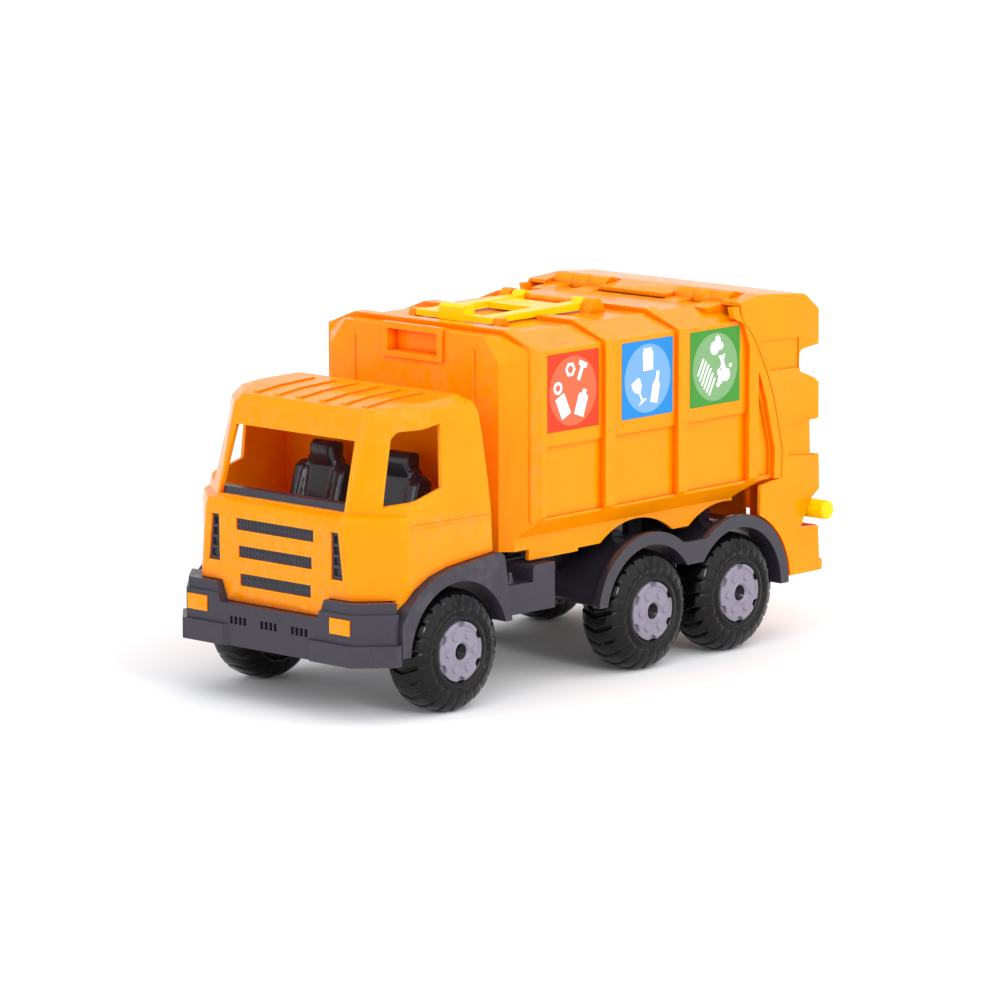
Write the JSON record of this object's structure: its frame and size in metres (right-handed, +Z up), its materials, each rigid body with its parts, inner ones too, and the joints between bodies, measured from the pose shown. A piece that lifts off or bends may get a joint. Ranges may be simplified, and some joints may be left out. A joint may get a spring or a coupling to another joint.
{
  "type": "toy refuse truck",
  "caption": "Toy refuse truck with an open-windowed cab, ribbed hopper body, hinged tailgate, tipping bin lifter, roof lever and rolling double rear axle.",
  "frame": {"origin": "on the ground, under the middle of the truck's outer box", "axes": "+Z up, the cab faces -Y, +X is the truck's left side"},
  "size_m": [0.206, 0.418, 0.232],
  "materials": {
    "body_orange": "moulded orange plastic, soft gloss",
    "dark_grey_plastic": "dark grey moulded plastic, satin",
    "dark_grey_gloss": "dark grey moulded plastic, glossy",
    "tyre_black": "hard black plastic tyre, glossy",
    "hub_grey": "lavender grey plastic, satin",
    "axle_steel": "bright steel rod",
    "screw_steel": "zinc plated screw",
    "yellow_plastic": "bright yellow plastic, soft gloss",
    "lamp_amber": "orange plastic lamp, glossy",
    "sticker_red": "printed label, red with white drawings",
    "sticker_blue": "printed label, blue with white drawings",
    "sticker_green": "printed label, green with white drawings"
  },
  "bodies": {
    "truck": {"body_screws": "screw_steel", "cab_floor": "dark_grey_plastic", "cab_shell": "body_orange", "chassis_frame": "dark_grey_plastic", "front_axle_hangers": "dark_grey_plastic", "front_bumper": "dark_grey_plastic", "front_fender_left": "dark_grey_plastic", "front_fender_right": "dark_grey_plastic", "grille_insert": "dark_grey_plastic", "hopper_body": "body_orange", "hopper_floor": "dark_grey_plastic", "indicator_left": "lamp_amber", "indicator_right": "lamp_amber", "middle_axle_hangers": "dark_grey_plastic", "rear_axle_hangers": "dark_grey_plastic", "rear_mudguard_left": "dark_grey_gloss", "rear_mudguard_right": "dark_grey_gloss", "roof_lever_pin": "body_orange", "seat_left": "dark_grey_plastic", "seat_right": "dark_grey_plastic", "sticker_blue_left": "sticker_blue", "sticker_blue_right": "sticker_blue", "sticker_green_left": "sticker_green", "sticker_green_right": "sticker_green", "sticker_red_left": "sticker_red", "sticker_red_right": "sticker_red", "tailgate_hinge_pins": "body_orange"},
    "front_wheelset": {"front_axle": "axle_steel", "front_hub_left": "hub_grey", "front_hub_right": "hub_grey", "front_tyre_left": "tyre_black", "front_tyre_right": "tyre_black"},
    "middle_wheelset": {"middle_axle": "axle_steel", "middle_hub_left": "hub_grey", "middle_hub_right": "hub_grey", "middle_tyre_left": "tyre_black", "middle_tyre_right": "tyre_black"},
    "rear_wheelset": {"rear_axle": "axle_steel", "rear_hub_left": "hub_grey", "rear_hub_right": "hub_grey", "rear_tyre_left": "tyre_black", "rear_tyre_right": "tyre_black"},
    "tailgate_assembly": {"tailgate": "body_orange", "lifter_pins": "yellow_plastic"},
    "lifter": {"bin_lifter": "yellow_plastic"},
    "lever": {"roof_lever": "yellow_plastic"}
  },
  "joints": [
    {"name": "front_wheels_spin", "type": "hinge", "parent": "truck", "child": "front_wheelset", "pos_m": [0, -0.134, 0.038], "axis": [1, 0, 0], "continuous": true},
    {"name": "middle_wheels_spin", "type": "hinge", "parent": "truck", "child": "middle_wheelset", "pos_m": [0, 0.042, 0.038], "axis": [1, 0, 0], "continuous": true},
    {"name": "rear_wheels_spin", "type": "hinge", "parent": "truck", "child": "rear_wheelset", "pos_m": [0, 0.126, 0.038], "axis": [1, 0, 0], "continuous": true},
    {"name": "tailgate_open", "type": "hinge", "parent": "truck", "child": "tailgate_assembly", "pos_m": [0, 0.14, 0.2215], "axis": [1, 0, 0], "range_deg": [0, 75]},
    {"name": "lifter_tip", "type": "hinge", "parent": "tailgate_assembly", "child": "lifter", "pos_m": [0, 0.19, 0.1535], "axis": [1, 0, 0], "range_deg": [0, 100]},
    {"name": "roof_lever_raise", "type": "hinge", "parent": "truck", "child": "lever", "pos_m": [0, 0.048, 0.226], "axis": [-1, 0, 0], "range_deg": [0, 100]}
  ]
}
